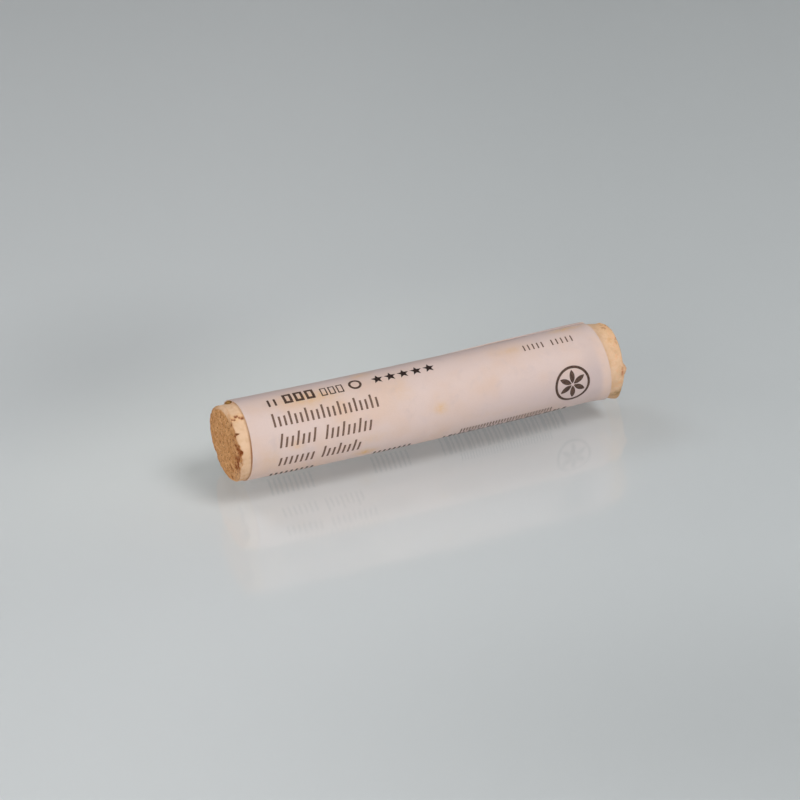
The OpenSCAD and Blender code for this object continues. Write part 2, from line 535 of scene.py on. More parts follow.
@dataclass(frozen=True)
class PastelFinish:
    """Pressed pigment: smooth peach skin on the side, granular ochre where it is worn."""

    skin: Colour = srgb(234, 199, 167)
    skin_deep: Colour = srgb(223, 185, 150)
    amber: Colour = srgb(240, 190, 134)
    rust: Colour = srgb(168, 96, 50)
    worn: Colour = srgb(224, 170, 116)
    worn_dark: Colour = srgb(197, 136, 82)
    worn_light: Colour = srgb(240, 192, 144)
    hollow: Colour = srgb(130, 58, 22)
    speck: Colour = srgb(120, 56, 18)
    olive: Colour = srgb(140, 112, 62)
    blush: Colour = srgb(236, 184, 146)

    def build(self) -> bpy.types.Material:
        """Makes the material.

        Returns:
            The material.
        """
        bench = FinishBench("pressed_pigment")
        patches = bench.noise(1.6, detail=4, rough=0.6)
        skin = bench.mix(bench.band(patches, 0.35, 0.7), self.skin, self.skin_deep)
        skin = bench.mix(bench.sums("MULTIPLY", bench.stored("amber"), 0.9), skin, self.amber)
        flecks = bench.noise(0.55, detail=4, rough=0.7)
        broken = bench.sums("MULTIPLY", bench.stored("broken"), bench.band(flecks, 0.48, 0.66))
        skin = bench.mix(bench.sums("MULTIPLY", broken, 0.8), skin, self.blush)
        powder = bench.noise(0.16, detail=3, rough=0.6)
        skin = bench.mix(bench.band(powder, 0.55, 0.8, 0, 0.3), skin, self.worn_light)
        cells = bench.grains(0.3)
        tone = bench.noise(0.9, detail=3, rough=0.6)
        worn = bench.mix(bench.band(tone, 0.3, 0.72), self.worn, self.worn_dark)
        worn = bench.mix(bench.band(cells.outputs["Color"], 0.55, 0.95, 0, 0.5), worn, self.worn_light)
        speck = bench.noise(0.3, detail=2.0, rough=0.6)
        worn = bench.mix(bench.band(speck, 0.54, 0.67, 0, 0.85), worn, self.speck)
        both = bench.mix(bench.stored("worn"), skin, worn)
        both = bench.mix(bench.sums("MULTIPLY", bench.stored("rust"), 0.85), both, self.rust)
        # partly painted shade: the pits and the crack's holes take a dark red-brown that stands in for the
        # shade in them; the crumb takes a little of it as its own colour
        both = bench.mix(bench.stored("hollow"), both, self.hollow)
        both = bench.mix(bench.stored("olive"), both, self.olive)
        bench.matt(both, 0.92, 0.2)
        bench.relief(bench.sums("ADD", powder, cells.outputs["Distance"]), 0.02, 0.5)
        return bench.material


@dataclass(frozen=True)
class PaperFinish:
    """Thin uncoated paper, rose white, tinted where pigment has rubbed into it."""

    rose: Colour = srgb(223, 201, 194)
    peach: Colour = srgb(223, 195, 180)
    mauve: Colour = srgb(203, 185, 184)
    stain: Colour = srgb(224, 182, 128)
    fibre: Colour = srgb(176, 148, 140)

    def build(self) -> bpy.types.Material:
        """Makes the material.

        Returns:
            The material.
        """
        bench = FinishBench("sleeve_paper")
        sheet = bench.stored("sheet", vector=True)
        wide = bench.noise(9, detail=3, rough=0.55, vector=sheet)
        cloudy = bench.noise(2.4, detail=4, rough=0.6, vector=sheet, warp=0.4)
        base = bench.mix(bench.band(wide, 0.38, 0.68), self.rose, self.peach)
        # mauve: partly the paper's own lavender patches, partly painted shade along the sleeve's top edge
        base = bench.mix(bench.sums("MULTIPLY", bench.stored("cool"), 0.8), base, self.mauve)
        base = bench.mix(bench.band(cloudy, 0.5, 0.75, 0, 0.35), base, self.mauve)
        blots = bench.noise(0.9, detail=4, rough=0.65, vector=sheet)
        share = bench.sums("MULTIPLY", bench.stored("stain"), bench.band(blots, 0.3, 0.62, 0.25, 1))
        base = bench.mix(share, base, self.stain)
        fibre = bench.noise(0.14, detail=3, rough=0.7, vector=bench.scaled(sheet, (0.5, 1, 1)))
        base = bench.mix(bench.band(fibre, 0.4, 0.75, 0, 0.1), base, self.fibre)
        bench.matt(base, 0.62, 0.35)
        faint_fibre = bench.sums("MULTIPLY", fibre, 0.25)
        waves = bench.sums("ADD", faint_fibre, bench.noise(0.7, detail=3, rough=0.6, vector=sheet))
        bench.relief(waves, 0.03, 0.5)
        return bench.material


@dataclass(frozen=True)
class InkFinish:
    """Matt brown-black printing ink, thin enough for the paper to show through in places."""

    ink: Colour = srgb(40, 27, 25)
    thin: Colour = srgb(134, 104, 88)

    def build(self) -> bpy.types.Material:
        """Makes the material.

        Returns:
            The material.
        """
        bench = FinishBench("printing_ink")
        mottle = bench.noise(0.3, detail=3, rough=0.7)
        share = bench.sums("ADD", bench.band(mottle, 0.35, 0.7, -0.2, 0.2), bench.stored("faint"))
        share = bench.sums("MINIMUM", bench.sums("MAXIMUM", share, 0.0), 1.0)
        bench.matt(bench.mix(share, self.ink, self.thin), 0.7, 0.3)
        bench.relief(mottle, 0.01, 0.4)
        return bench.material


@dataclass(frozen=True)
class FloorPool:
    """A soft oval patch on the floor, used both for painted light and for painted shade: middle and half
    sizes in millimetres, turn in degrees.
    """

    middle: Triple
    reach: Triple
    turn: float
    strength: float

    def share(self, bench: FinishBench) -> bpy.types.NodeSocket:
        """The patch as a number: its strength in the middle, 0 from its edge on.

        Args:
            bench: The floor's material.

        Returns:
            The number's socket.
        """
        oval = bench.tree.nodes.new("ShaderNodeMapping")
        oval.vector_type = "TEXTURE"
        bench.feed(oval, "Vector", bench.place)
        oval.inputs["Location"].default_value = self.middle
        oval.inputs["Rotation"].default_value = (0, 0, math.radians(self.turn))
        oval.inputs["Scale"].default_value = self.reach
        far_out = bench.tree.nodes.new("ShaderNodeVectorMath")
        far_out.operation = "LENGTH"
        bench.feed(far_out, 0, oval.outputs[0])
        return bench.band(far_out.outputs["Value"], 0, 1, self.strength, 0)


@dataclass(frozen=True)
class FloorFinish:
    """Pale grey floor with a thin coat, made a little darker towards one side and in two wide pools by
    painted shade.

    The painted light pool is a faint glow of the floor's own that only the camera sees, standing in for a
    pool of light on it.
    """

    grey: Colour = srgb(241, 245, 247)
    painted_shade_grey: Colour = srgb(231, 236, 238)
    painted_shade_way: Triple = (0.94, -0.34, 0.0)
    painted_shade_span: tuple[float, float] = (-40.0, 50.0)
    painted_light_pool_tint: Colour = (1.0, 1.0, 0.8, 1.0)
    painted_light_pool: FloorPool = FloorPool((-18.0, 27.0, 0.0), (78.0, 38.0, 100.0), 19.0, 0.08)
    painted_shade_pools: tuple[FloorPool, ...] = (
        FloorPool((-37.0, 52.0, 0.0), (44.0, 44.0, 100.0), 0.0, 0.12),
        FloorPool((20.0, -90.0, 0.0), (110.0, 50.0, 100.0), -20.0, 0.15),
    )
    coat_roughness: float = 0.1
    coat_index: float = 1.9

    def build(self) -> bpy.types.Material:
        """Makes the material.

        Returns:
            The material.
        """
        bench = FinishBench("pale_floor")
        # painted shade: the floor's colour darkens towards one side, where less light falls on it
        to_right = bench.tree.nodes.new("ShaderNodeVectorMath")
        to_right.operation = "DOT_PRODUCT"
        bench.feed(to_right, 0, bench.place)
        to_right.inputs[1].default_value = self.painted_shade_way
        painted_shade = bench.band(to_right.outputs["Value"], *self.painted_shade_span)
        base = bench.mix(painted_shade, self.grey, self.painted_shade_grey)
        # painted shade: two wide dark pools laid into the floor's colour
        for painted_shade_pool in self.painted_shade_pools:
            base = bench.mix(painted_shade_pool.share(bench), base, BLACK)
        bench.matt(base, 0.8, 0.0)
        bench.shader.inputs["Coat Weight"].default_value = 1.0
        bench.shader.inputs["Coat Roughness"].default_value = self.coat_roughness
        bench.shader.inputs["Coat IOR"].default_value = self.coat_index
        # painted light: a faint glow, seen only by the camera, in a soft pool on the floor
        seen = bench.tree.nodes.new("ShaderNodeLightPath").outputs["Is Camera Ray"]
        bench.feed(bench.shader, "Emission Strength", bench.sums("MULTIPLY", seen, self.painted_light_pool.share(bench)))
        bench.shader.inputs["Emission Color"].default_value = self.painted_light_pool_tint
        return bench.material


@dataclass(frozen=True)
class ClearSheetFinish:
    """Clear sheet on the floor: all light passes but what it reflects."""

    index: float = 1.8
    roughness: float = 0.09

    def build(self) -> bpy.types.Material:
        """Makes the material.

        Returns:
            The material.
        """
        material = bpy.data.materials.new("clear_sheet")
        material.use_nodes = True
        tree = material.node_tree
        tree.nodes.clear()
        share, clear, gloss, mixer, side, index = (tree.nodes.new(kind) for kind in (
            "ShaderNodeFresnel", "ShaderNodeBsdfTransparent", "ShaderNodeBsdfGlossy", "ShaderNodeMixShader",
            "ShaderNodeNewGeometry", "ShaderNodeMapRange"))
        index.inputs["To Min"].default_value = self.index
        index.inputs["To Max"].default_value = 1 / self.index
        tree.links.new(side.outputs["Backfacing"], index.inputs["Value"])
        tree.links.new(index.outputs[0], share.inputs["IOR"])
        gloss.inputs["Roughness"].default_value = self.roughness
        tree.links.new(share.outputs[0], mixer.inputs[0])
        tree.links.new(clear.outputs[0], mixer.inputs[1])
        tree.links.new(gloss.outputs[0], mixer.inputs[2])
        out = tree.nodes.new("ShaderNodeOutputMaterial")
        tree.links.new(mixer.outputs[0], out.inputs["Surface"])
        return material


# ---- The pastel ----------------------------------------------------------------


@dataclass(frozen=True)
class Dent:
    """A hump or hollow at one place: on the rim it is a chip, on a surface a pit or a stain."""

    turn: float
    half_width: float
    depth: float

    def at(self, turns: np.ndarray) -> np.ndarray:
        """Its depth at each turn."""
        return self.depth * hump(turns, self.turn, self.half_width)


@dataclass(frozen=True)
class Pit:
    """A small hollow in the pastel, at a place along the stick and round it, or on the worn face."""

    along: float
    turn: float
    radius: float
    size: float
    depth: float


class Part(Enum):
    """The stretches of the pastel's surface."""

    FACE = 0
    SIDE = 1
    END = 2


@dataclass
class Rings:
    """The pastel's surface while it is worked: a row for each ring of corners, a column for each spoke.

    turns, side and part tell which corner it is, and radius and along where it lies. The noise is read at
    the plain surface, before the corners move, and shape and tints share it.
    """

    turns: np.ndarray
    side: np.ndarray
    part: np.ndarray
    radius: np.ndarray
    along: np.ndarray
    noise: Grain

    def __post_init__(self) -> None:
        """Reads the noise."""
        angle = np.radians(self.turns)
        across, up = -self.radius * np.sin(angle), self.radius * np.cos(angle)
        self.spots = np.stack([self.along, across, up], axis=-1).reshape(-1, 3)
        self.lump = self.spread(self.noise.lumps(self.spots, 0.36))
        self.fine = self.spread(self.noise.lumps(self.spots + 40, 0.19))
        self.swell = self.spread(self.noise.layered(self.spots, 1.7))
        self.soft = self.spread(self.noise.layered(self.spots + 90, 0.5))

    def spread(self, values: np.ndarray) -> np.ndarray:
        """A list of values, one for each corner, as rows and columns."""
        return values.reshape(self.turns.shape)

    def on(self, part: Part) -> np.ndarray:
        """Where the surface is the given stretch."""
        return self.part == part.value

    @property
    def skin(self) -> np.ndarray:
        """Where the surface isn't the worn face."""
        return ~self.on(Part.FACE)


@dataclass
class PastelStick:
    """The bare pastel: worn face, skin, rubbed far end, a flake on its rim and a crumb on its band."""

    layout: StickLayout
    finish: bpy.types.Material
    spokes: int = 480
    face_rings: int = 76
    end_rings: int = 64
    shoulder_r: float = 0.5
    flake_reach: float = 0.5
    flake_turn: float = 86.0
    crack_turn: float = 24.0
    face_mid_x: float = 0.58
    face_lean: float = 0.1
    bevel: float = 0.75
    band: float = 3.6
    far_band: float = 4.4
    wear: tuple[Dent, ...] = (
        Dent(-8, 34, 0.16), Dent(58, 6, -0.17), Dent(77, 9, 0.2),
        Dent(112, 12, -0.16), Dent(158, 18, 0.2),
    )
    chips: tuple[Dent, ...] = (
        Dent(50.5, 1.7, 0.55), Dent(68, 3.2, 0.16), Dent(79, 5.0, 0.24), Dent(90, 2.6, 0.14),
        Dent(99, 4.2, 0.22), Dent(-130, 5, 0.12), Dent(-60, 4, 0.08), Dent(131, 3, 0.1),
    )
    bevelled: Dent = Dent(-8, 34, 0.66)
    far_notch: Dent = Dent(69, 9, 0.1)
    far_bulge: Dent = Dent(149, 16, 0.7)
    far_slump: Dent = Dent(-22, 40, 0.28)
    mouth_heap: Dent = Dent(-10, 56, 0.34)
    noise: Grain = field(default_factory=lambda: Grain(3))

    @property
    def far_x(self) -> float:
        """Place of the far end's flat."""
        return self.layout.tip_x - self.flake_reach

    @property
    def base_x(self) -> float:
        """Place of the worn face's middle, from where distances along the side are counted."""
        return self.layout.face_x + self.face_mid_x

    @property
    def bare_side(self) -> float:
        """Distance along the side at which the sleeve ends."""
        return self.layout.sleeve_x1 - self.base_x

    @property
    def far_side(self) -> float:
        """Distance along the side of the far end's flat."""
        return self.far_x - self.base_x

    def mouth_x(self, turns: np.ndarray) -> np.ndarray:
        """Place of the sleeve's slanted near edge at each turn."""
        angle = np.radians(turns)
        return self.layout.sleeve_x0 + 0.1 + 0.45 * np.sin(angle) + 0.4 * np.cos(angle)

    def face_height(self, turns: np.ndarray, radius: np.ndarray) -> np.ndarray:
        """Place of the worn face along X, with its lean, its rubbed rim and its chips.

        Args:
            turns: Turns round the stick.
            radius: Distances from the axis.

        Returns:
            Places along X.
        """
        r = self.layout.pastel_r
        plain = self.base_x + self.face_lean * radius * np.sin(np.radians(turns))
        near_rim = ease(radius, r - 1.9, r)
        worn = sum(dent.at(turns) for dent in self.wear)
        at_rim = ease(radius, r - 0.75, r - 0.1)
        over = np.clip((radius - r + self.bevel) / self.bevel, 0, 0.97)
        bevelled = self.bevelled.at(turns) * (1 - np.sqrt(1 - over * over))
        flat = np.zeros_like(turns)
        ragged = self.noise.layered(np.stack([turns / 5.5, flat, flat], axis=-1).reshape(-1, 3), 1.0)
        ragged = ragged.reshape(turns.shape)
        chipped = sum(
            dent.depth * np.clip(1.25 - np.abs(turn_gap(turns, dent.turn)) / dent.half_width, 0, 1)
            for dent in self.chips
        )
        return plain + near_rim * worn + bevelled + at_rim * (chipped + 0.09 * ragged)

    def pits(self) -> list[Pit]:
        """Hollows broken out of the face near its rim, and along the crack across the bare band.

        Returns:
            The hollows.
        """
        r = self.layout.pastel_r
        rim = self.layout.face_x + 1.2
        hollows = [
            Pit(rim, 75, r - 1.2, 0.36, 0.2), Pit(rim, 80, r - 0.7, 0.32, 0.2),
            Pit(rim, 68, r - 1.5, 0.22, 0.15), Pit(rim, 102, r - 2.2, 0.3, 0.2),
            Pit(rim, 97, r - 1.7, 0.36, 0.25), Pit(rim, 92, r - 1.1, 0.26, 0.2),
            Pit(rim, 107, r - 1.4, 0.34, 0.2), Pit(rim, 115, r - 1.0, 0.36, 0.25),
            Pit(rim, 124, r - 1.7, 0.3, 0.2), Pit(rim, 158, r - 2.4, 0.24, 0.2),
            Pit(rim, 151, r - 1.9, 0.2, 0.2), Pit(rim, 168, r - 0.6, 0.24, 0.15),
            Pit(rim, 56, r - 2.0, 0.18, 0.1), Pit(rim, 51, r - 0.5, 0.22, 0.3),
            Pit(rim, 33, r - 0.5, 0.18, 0.2),
        ]
        crack_x = self.layout.face_x + 1.35 - 0.2
        steps = (0.12, 0.42, 0.75, 1.02, 1.3, 1.62)
        for k, step in enumerate(steps):
            turn = self.crack_turn + 3.2 * math.sin(5 * step)
            hollows.append(Pit(crack_x + step, turn, r, 0.15 + 0.04 * (k % 3), 0.2 + 0.08 * (k % 2)))
        return hollows

    def rows(self) -> tuple[np.ndarray, np.ndarray, np.ndarray]:
        """The rings of the mesh, from the worn face's middle to the far end's middle.

        Returns:
            For each ring, the radius, the distance along the side, and its part: 0 face, 1 side, 2 far end.
        """
        r = self.layout.pastel_r
        face = r * np.linspace(1 / self.face_rings, 1, self.face_rings) ** 0.9
        length = self.far_x - self.shoulder_r - self.base_x
        near = np.linspace(0.02, self.band, 44)
        middle = np.linspace(self.band, length - self.far_band, 26)[1:-1]
        far = np.linspace(length - self.far_band, length, 46)
        arc = np.radians(np.linspace(90 / 9, 90, 9))
        end = np.linspace(r - self.shoulder_r, 0.3, self.end_rings)[1:]
        along_side = len(near) + len(middle) + len(far)
        radius = np.concatenate([
            face, np.full(along_side, r), r - self.shoulder_r * (1 - np.cos(arc)), end,
        ])
        side = np.concatenate([
            np.zeros(len(face)), near, middle, far,
            length + self.shoulder_r * np.sin(arc), np.full(len(end), length + self.shoulder_r),
        ])
        parts = [Part.FACE.value, Part.SIDE.value, Part.END.value]
        part = np.repeat(parts, [len(face), along_side, len(arc) + len(end)])
        return radius, side, part

    def build(self) -> None:
        """Makes the pastel and its crumb."""
        rings = self.lay_rings()
        rough_end = ease(rings.side, self.bare_side, self.far_side - 0.5)
        self.roughen(rings, rough_end)
        bare = ease(rings.side, self.bare_side + 0.3, self.far_side - 0.6) * rings.skin
        self.wear_far_end(rings, bare)
        hollow = self.sink_pits(rings)
        crease = self.crack_far_rim(rings)
        self.heap_at_mouth(rings)
        piece = Piece("pressed_pastel", *self.close(rings))
        self.tint(piece, rings, rough_end, bare, hollow, crease)
        piece.smooth(60)
        piece.dress(self.finish, Slot.PASTEL, "pastel_stick")
        self.crumb()

    def lay_rings(self) -> Rings:
        """Lays out the surface, smooth but for the worn face's rim.

        Returns:
            The rings of corners.
        """
        ring_radius, ring_side, ring_part = self.rows()
        spokes = np.arange(self.spokes) * 360 / self.spokes
        radius, turns = np.meshgrid(ring_radius, spokes, indexing="ij")
        side = np.repeat(ring_side[:, None], self.spokes, axis=1)
        part = np.repeat(ring_part[:, None], self.spokes, axis=1)
        rim = self.face_height(turns, np.full_like(turns, self.layout.pastel_r))
        settle = ease(side, 0, self.band)
        on_side = rim + side + (self.base_x - rim) * settle
        along = np.where(part == Part.FACE.value, self.face_height(turns, radius), on_side)
        return Rings(turns, side, part, radius, along, self.noise)

    def roughen(self, rings: Rings, rough_end: np.ndarray) -> None:
        """Gives the worn face its grain, the side its fine skin and the far end its crumbly one.

        Args:
            rings: The surface, which this changes.
            rough_end: How crumbly the skin is, from 0 to 1.
        """
        r = self.layout.pastel_r
        inner = ease(r - rings.radius, 0.0, 0.25)
        grain = 0.07 * (rings.lump - 0.55) + 0.03 * (rings.fine - 0.5) + 0.08 * rings.swell
        rings.along = rings.along - np.where(rings.on(Part.FACE), grain * (0.4 + 0.6 * inner), 0)
        crumbly = (0.10 * (rings.lump - 0.6) + 0.07 * rings.swell) * rough_end
        skin = 0.018 * rings.soft + 0.012 * (rings.fine - 0.5) + crumbly
        rim_round = 0.1 * np.exp(-rings.side / 0.16)
        on_side = np.where(rings.on(Part.SIDE), skin - rim_round, 0)
        on_end = np.where(rings.on(Part.END), skin * ease(rings.radius, 0, 2), 0)
        rings.radius = rings.radius + on_side + on_end
        uneven = 0.06 * (rings.lump - 0.6) * ease(rings.radius, r - 2.5, r - 1) + 0.08 * rings.swell
        rings.along = rings.along + np.where(rings.on(Part.END), uneven, 0)

    def wear_far_end(self, rings: Rings, bare: np.ndarray) -> None:
        """Raises the flake on the far rim, and rubs and bulges the bare end round it.

        Args:
            rings: The surface, which this changes.
            bare: How far out of the sleeve the skin is, from 0 to 1.
        """
        r, far_side = self.layout.pastel_r, self.far_side
        flake = hump(rings.turns, self.flake_turn, 8) * ease(turn_gap(rings.turns, 72), 0, 5)
        reach = ease(rings.side, far_side - 1.0, far_side) * ease(rings.radius, r - 1.4, r - 0.4)
        rings.along = rings.along + flake * reach * self.flake_reach
        rings.along = rings.along - self.far_notch.at(rings.turns) * reach
        uneven = self.far_bulge.at(rings.turns) - self.far_slump.at(rings.turns)
        rings.radius = rings.radius + uneven * bare * ease(rings.radius, 3, r)
        rubbed = hump(rings.turns, self.far_slump.turn, 36) * ease(rings.side, far_side - 2.2, far_side)
        rings.along = rings.along - 0.16 * rubbed * ease(rings.radius, r - 1.6, r) * rings.skin

    def sink_pits(self, rings: Rings) -> np.ndarray:
        """Sinks the pits into the face and the side.

        Args:
            rings: The surface, which this changes.

        Returns:
            How deep inside a pit each corner lies, from 0 up, which the finish paints as dark red-brown shade
            in the pit.
        """
        hollow = np.zeros(rings.turns.shape)
        for pit in self.pits():
            on_face = pit.radius < self.layout.pastel_r
            round_way = np.radians(turn_gap(rings.turns, pit.turn)) * pit.radius
            other_way = (rings.radius - pit.radius) / 1.6 if on_face else rings.along - pit.along
            near = mound(np.hypot(round_way, other_way), pit.size)
            near = near * rings.on(Part.FACE if on_face else Part.SIDE)
            if on_face:
                rings.along = rings.along + near * pit.depth
            else:
                rings.radius = rings.radius - near * pit.depth
            hollow = np.maximum(hollow, np.clip(1.5 * near, 0, 1) * (0.8 + 0.5 * rings.soft))
        return hollow

    def crack_far_rim(self, rings: Rings) -> np.ndarray:
        """Sinks the crease behind the flake.

        Args:
            rings: The surface, which this changes.

        Returns:
            How deep inside the crease each corner lies, from 0 to 1.
        """
        crease = hump(rings.turns, self.flake_turn + 1, 9) * mound(rings.along - self.far_x + 0.42, 0.13)
        crease = crease * np.clip(0.8 + rings.soft, 0, 1)
        rings.radius = rings.radius - 0.2 * crease * rings.skin
        return crease

    def heap_at_mouth(self, rings: Rings) -> None:
        """Heaps rubbed-off pigment up under the sleeve's near edge.

        Args:
            rings: The surface, which this changes.
        """
        heap = self.mouth_heap.at(rings.turns) * mound(rings.along - self.mouth_x(rings.turns) - 0.25, 0.4)
        rings.radius = rings.radius + heap * rings.on(Part.SIDE)

    def close(self, rings: Rings) -> tuple[np.ndarray, list]:
        """Turns the rings into a closed mesh, with one corner in the middle of each end.

        Args:
            rings: The worked surface.

        Returns:
            The corners and the faces.
        """
        layout = self.layout
        points = layout.place(rings.along, rings.turns, rings.radius, layout.pastel_z)
        points[..., 2] = np.maximum(points[..., 2], layout.pastel_z - layout.pastel_r)
        pole_x = np.array([self.base_x - 0.05, rings.along[-1].mean()])
        poles = layout.place(pole_x, np.zeros(2), np.zeros(2), layout.pastel_z)
        faces = grid_faces(len(points), self.spokes, ring=True).tolist()
        near_pole = points.shape[0] * self.spokes
        far_pole = near_pole + 1
        last = near_pole - self.spokes
        for k in range(self.spokes):
            after = (k + 1) % self.spokes
            faces.append((near_pole, after, k))
            faces.append((far_pole, last + k, last + after))
        return np.vstack([points.reshape(-1, 3), poles]), faces

    def tint(
        self,
        piece: Piece,
        rings: Rings,
        rough_end: np.ndarray,
        bare: np.ndarray,
        hollow: np.ndarray,
        crease: np.ndarray,
    ) -> None:
        """Stores where the pastel is worn, stained and broken, for its finish.

        Args:
            piece: The mesh.
            rings: The worked surface.
            rough_end: How crumbly the skin is.
            bare: How far out of the sleeve the skin is.
            hollow: How deep inside a pit each corner lies, which the finish darkens with painted shade.
            crease: How deep inside the crease each corner lies.
        """
        r = self.layout.pastel_r
        turns, soft = rings.turns, rings.soft
        outer = ease(rings.radius, r - 2.4, r - 0.9)
        blotch = rings.spread(self.noise.layered(rings.spots + 140, 1.5))
        spotted = rough_end * rings.skin
        amber = spotted * (0.08 + 0.45 * (hump(turns, 4, 40) * outer) + 0.75 * ease(blotch, 0.05, 0.4))
        crack_glow = hump(turns, self.crack_turn + 1, 6) * rings.on(Part.SIDE) * (rings.side < self.band)
        rust = 0.3 * hump(turns, 146, 12) * rough_end * outer + 0.9 * crease * rings.skin
        bare_spots = spotted * hump(turns, 12, 34) * outer
        rust = rust + bare_spots * (0.6 * ease(blotch, 0.1, 0.45) + 0.75 * ease(soft, 0.2, 0.5))
        halo = hump(turns, self.flake_turn, 13) * mound(rings.along - self.far_x + 0.35, 0.5) * rings.skin
        rust = rust + 0.75 * halo * outer * np.clip(0.75 + soft, 0, 1)
        olive = 0.85 * hump(turns, 134, 11) * bare * outer * np.clip(0.6 + soft, 0, 1)
        self.paint(
            piece,
            worn=self.worn_share(rings),
            amber=np.clip(amber + 0.6 * crack_glow, 0, 1),
            rust=np.clip(self.rust_near_face(rings, rust), 0, 1),
            hollow=np.clip(hollow, 0, 1),
            olive=np.clip(olive, 0, 1),
            broken=spotted,
        )

    def worn_share(self, rings: Rings) -> np.ndarray:
        """Where the granular inside shows: on the face, at its rim and where the skin is scraped.

        Args:
            rings: The worked surface.

        Returns:
            A share from 0 to 1 for each corner.
        """
        r = self.layout.pastel_r
        turns, soft, face, flank = rings.turns, rings.soft, rings.on(Part.FACE), rings.on(Part.SIDE)
        worn = np.where(face, 1.0, 0.0)
        worn = np.maximum(worn, np.exp(-rings.side / 0.1) * flank * (0.5 + 0.5 * soft))
        pale_top = hump(turns, -6, 32) * ease(rings.radius, r - 0.62, r - 0.4) * face
        worn = worn * (1 - 0.95 * pale_top)
        pale_bits = hump(turns, 100, 30) * ease(rings.radius, r - 1.7, r - 0.3)
        worn = worn * (1 - 0.6 * (pale_bits * ease(-soft, 0.02, 0.25) * face))
        lower = hump(turns, 140, 20) * ease(rings.radius, r - 2.0, r) * face
        worn = worn * (1 - 0.4 * lower * np.clip(0.6 + soft, 0, 1))
        scraped = mound(rings.side, 1.3) * flank * hump(turns, 140, 22)
        streaks = rings.spread(self.noise.layered(rings.spots * np.array([1.0, 1.0, 3.0]) + 60, 0.6))
        return np.maximum(worn, scraped * np.clip(0.45 + 1.2 * streaks, 0, 1))

    def rust_near_face(self, rings: Rings, rust: np.ndarray) -> np.ndarray:
        """Adds the dark stains on the worn face and at its rim, and along the sleeve's mouth a brown line
        that is partly rubbed-off pigment and partly painted shade of the gap under the sleeve's edge.

        Args:
            rings: The worked surface.
            rust: The stains so far.

        Returns:
            All the stains.
        """
        r = self.layout.pastel_r
        turns, soft, face, flank = rings.turns, rings.soft, rings.on(Part.FACE), rings.on(Part.SIDE)
        rust = rust + 0.9 * np.exp(-rings.side / 0.5) * flank * hump(turns, 104, 22) * np.clip(soft, 0, 1)
        patches = 0.02 + 0.95 * ease(soft, 0.1, 0.4)
        rust = rust + face * hump(turns, 98, 34) * ease(rings.radius, 2.6, 5.0) * patches
        rust = rust + 0.5 * face * hump(turns, -96, 60) * ease(rings.radius, r - 0.5, r)
        # partly pigment dust, partly painted shade: a brown line just under the sleeve's near edge, where the
        # gap between paper and stick lies in shade
        dust_and_gap_shade = mound(self.mouth_x(turns) - rings.along, 0.15) * hump(turns, 88, 32) * flank
        return np.maximum(rust, 0.9 * dust_and_gap_shade)

    @staticmethod
    def paint(piece: Piece, **layers: np.ndarray) -> None:
        """Stores the tint layers, with a plain value for the two end points.

        Args:
            piece: The mesh.
            layers: The values for each corner of the rings, by name.
        """
        piece.paint(**{
            name: np.concatenate([values.ravel(), [values[0, 0], values[-1, 0]]])
            for name, values in layers.items()
        })

    def crumb(self) -> None:
        """Makes the dark crumb stuck on the band, up against the sleeve."""
        layout = self.layout
        turn = -21.0
        half_sizes = np.array([0.62, 0.5, 0.24])
        ball = bmesh.new()
        bmesh.ops.create_icosphere(ball, subdivisions=4, radius=1)
        points = np.array([v.co for v in ball.verts])
        faces = [[v.index for v in f.verts] for f in ball.faces]
        ball.free()
        noise = Grain(11)
        knobbly = 1 + 0.25 * noise.layered(points, 0.7) + 0.1 * noise.smooth(points, 0.25)
        points = points * knobbly[:, None] * half_sizes
        along, radius = np.array([layout.sleeve_x0 - 0.06]), np.array([layout.pastel_r + 0.16])
        centre = layout.place(along, np.array([turn]), radius, layout.pastel_z)[0]
        tilt = np.array(Matrix.Rotation(math.radians(turn), 3, "X").transposed())
        piece = Piece("crumb_on_band", points @ tilt + centre, faces)
        tints = {"worn": 1.0, "amber": 0.0, "rust": 0.5, "hollow": 0.2, "olive": 0.8, "broken": 0.0}
        piece.paint(**{name: np.full(len(points), share) for name, share in tints.items()})
        piece.smooth(70)
        piece.dress(self.finish, Slot.PASTEL)


# ---- The paper sleeve ------------------------------------------------------------


@dataclass(frozen=True)
class Blot:
    """A rubbed-in patch of pigment on the paper, placed from the sleeve's middle."""

    along: float
    turn: float
    half_length: float
    half_turn: float
    strength: float


